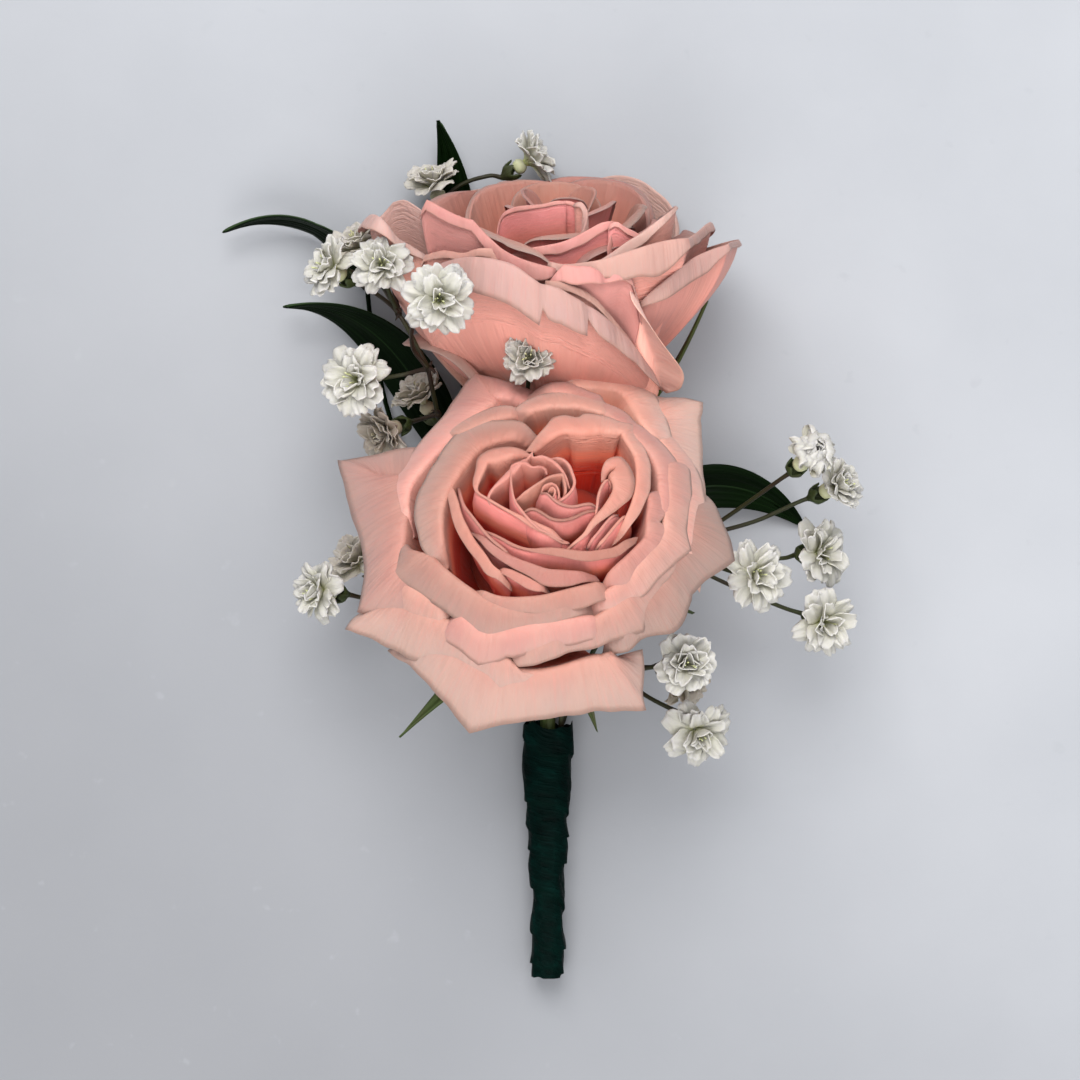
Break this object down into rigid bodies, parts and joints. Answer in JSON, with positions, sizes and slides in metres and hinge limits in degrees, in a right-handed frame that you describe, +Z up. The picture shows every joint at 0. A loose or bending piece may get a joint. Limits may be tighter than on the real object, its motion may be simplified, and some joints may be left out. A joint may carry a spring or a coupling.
{
  "type": "boutonniere",
  "caption": "Boutonniere of peach garden roses, double baby's breath and dark ruscus leaves on a taped stem, lying on its back to be pinned to a lapel.",
  "frame": {"origin": "centre of the footprint box on the surface the boutonniere lies on", "axes": "+Y along the stem from the cut ends to the rear rose, +Z up out of the surface towards the viewer, +X to the right with the cut ends at the bottom"},
  "size_m": [0.091, 0.1228, 0.0483],
  "materials": {
    "petal": "fresh rose petal: peach pink with paler cream-pink rims, deeper apricot towards the heart, soft satin",
    "bloom_white": "thin matte white petals of double baby's breath, warm grey where they fade",
    "rose_green": "fresh olive-green stem, hip and sepals, matte",
    "spray_green": "fine wiry green-brown stems and calyxes, matte",
    "leaf_green": "very dark green ruscus leaf with a waxy sheen",
    "floral_tape": "very dark green waxed crepe floral tape, wound in a spiral"
  },
  "bodies": {
    "root": {"bloom_centre": "bloom_white", "bloom_left_1": "bloom_white", "bloom_left_2": "bloom_white", "bloom_left_3": "bloom_white", "bloom_left_4": "bloom_white", "bloom_left_5": "bloom_white", "bloom_left_6": "bloom_white", "bloom_left_7": "bloom_white", "bloom_low_left_1": "bloom_white", "bloom_low_left_2": "bloom_white", "bloom_low_right_1": "bloom_white", "bloom_low_right_2": "bloom_white", "bloom_low_right_3": "bloom_white", "bloom_right_1": "bloom_white", "bloom_right_2": "bloom_white", "bloom_right_3": "bloom_white", "bloom_right_4": "bloom_white", "bloom_right_5": "bloom_white", "bloom_top_1": "bloom_white", "bloom_top_2": "bloom_white", "leaf_left_middle": "leaf_green", "leaf_left_upper": "leaf_green", "leaf_right": "leaf_green", "leaf_top": "leaf_green", "rose_front_petals": "petal", "rose_front_stem": "rose_green", "rose_rear_petals": "petal", "rose_rear_stem": "rose_green", "spray_centre": "spray_green", "spray_left": "spray_green", "spray_right": "spray_green", "tape_wrap": "floral_tape"}
  },
  "joints": []
}
